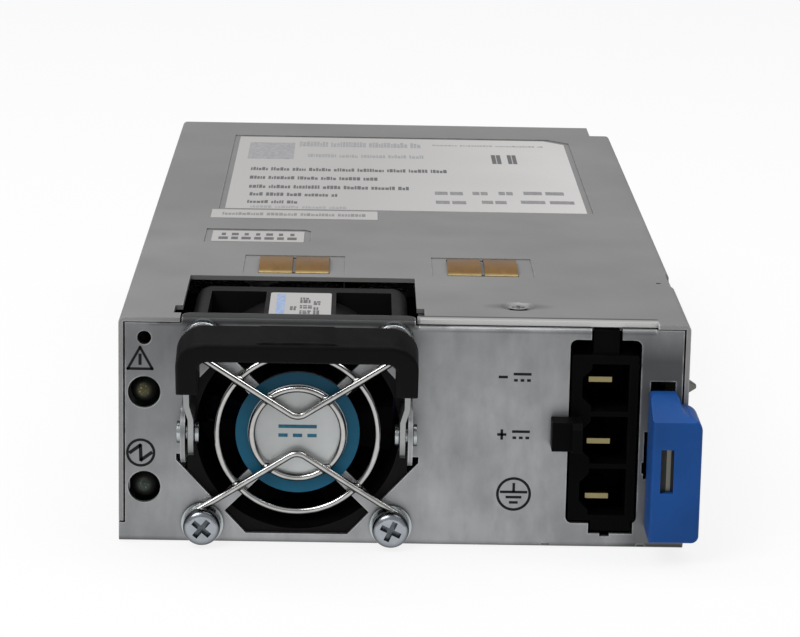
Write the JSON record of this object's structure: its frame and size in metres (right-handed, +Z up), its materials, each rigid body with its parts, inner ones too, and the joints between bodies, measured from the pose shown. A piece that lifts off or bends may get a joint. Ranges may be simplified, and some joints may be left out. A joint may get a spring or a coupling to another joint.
{
  "type": "switch power supply module",
  "caption": "Slide-in DC power module for a network switch: steel case, fan with guard and folding handle, three-blade inlet, side latch, card edge.",
  "frame": {"origin": "centre of the case's underside", "axes": "+Z up, the front panel faces -Y, the card edge points +Y"},
  "size_m": [0.1006, 0.2184, 0.0411],
  "materials": {
    "case_steel": "zinc-coated sheet steel, faintly spangled",
    "cover_steel": "zinc-coated sheet steel, dull grey",
    "fan_plastic": "glass-filled, satin",
    "rotor_plastic": "satin",
    "black_plastic": "fine moulded texture",
    "blue_plastic": "satin moulded",
    "zinc": "bright zinc plate",
    "guard_wire": "bright plated wire",
    "brass": "stamped, bare",
    "contact_copper": "copper alloy spring strip",
    "contact_gold": "gold flash",
    "copper": "enamelled wire",
    "core_steel": "laminated steel",
    "label_paper": "printed film label",
    "sticker_film": "printed film",
    "liner_film": "thin insulating film",
    "amber_lens": "tinted resin",
    "green_lens": "tinted resin",
    "board_laminate": "solder-masked laminate",
    "can_sleeve": "shrink sleeve",
    "ferrite": "ground ferrite",
    "winding_tape": "tape-wrapped winding",
    "sink_aluminium": "extruded"
  },
  "bodies": {
    "case": {"tray": "case_steel", "top_cover": "cover_steel", "fan_housing": "fan_plastic", "fan_bearing": "brass", "fan_stator_core": "core_steel", "fan_stator_coils": "copper", "fan_label": "label_paper", "finger_guard": "guard_wire", "guard_washers": "zinc", "guard_screws": "zinc", "bail_rivets": "zinc", "latch_pin": "zinc", "dc_inlet_housing": "black_plastic", "dc_inlet_blades": "brass", "fault_lamp": "amber_lens", "power_lamp": "green_lens", "lamp_board": "board_laminate", "panel_sticker": "sticker_film", "rating_label": "label_paper", "strip_label": "label_paper", "small_label": "label_paper", "contact_springs_left": "contact_copper", "contact_springs_right": "contact_copper", "cover_screw": "zinc", "insulating_liner": "liner_film", "board_standoffs": "zinc", "board_screws": "zinc", "main_board": "board_laminate", "card_contacts": "contact_gold", "input_capacitors": "can_sleeve", "output_capacitors": "can_sleeve", "filter_choke": "copper", "filter_choke_base": "black_plastic", "transformer_core": "ferrite", "transformer_winding": "winding_tape", "transformer_bobbin": "black_plastic", "output_choke": "ferrite", "heat_sink_left": "sink_aluminium", "heat_sink_right": "sink_aluminium", "power_transistors_left": "black_plastic", "power_transistors_right": "black_plastic"},
    "handle": {"bail_strip": "case_steel", "bail_grip": "black_plastic"},
    "fan_wheel": {"fan_rotor": "rotor_plastic", "fan_shaft": "zinc"},
    "latch": {"latch_strip": "case_steel", "latch_pad": "blue_plastic"}
  },
  "joints": [
    {"name": "handle_hinge", "type": "hinge", "parent": "case", "child": "handle", "pos_m": [-0.0182, -0.1026, 0.0211], "axis": [1, 0, 0], "range_deg": [-4.5, 80]},
    {"name": "fan_axle", "type": "hinge", "parent": "case", "child": "fan_wheel", "pos_m": [-0.0182, -0.083, 0.02], "axis": [0, 1, 0], "continuous": true},
    {"name": "latch_hinge", "type": "hinge", "parent": "case", "child": "latch", "pos_m": [0.0451, -0.028, 0.017], "axis": [0, 0, 1], "range_deg": [-2.3, 0], "stiffness_Nm_per_rad": 8}
  ]
}
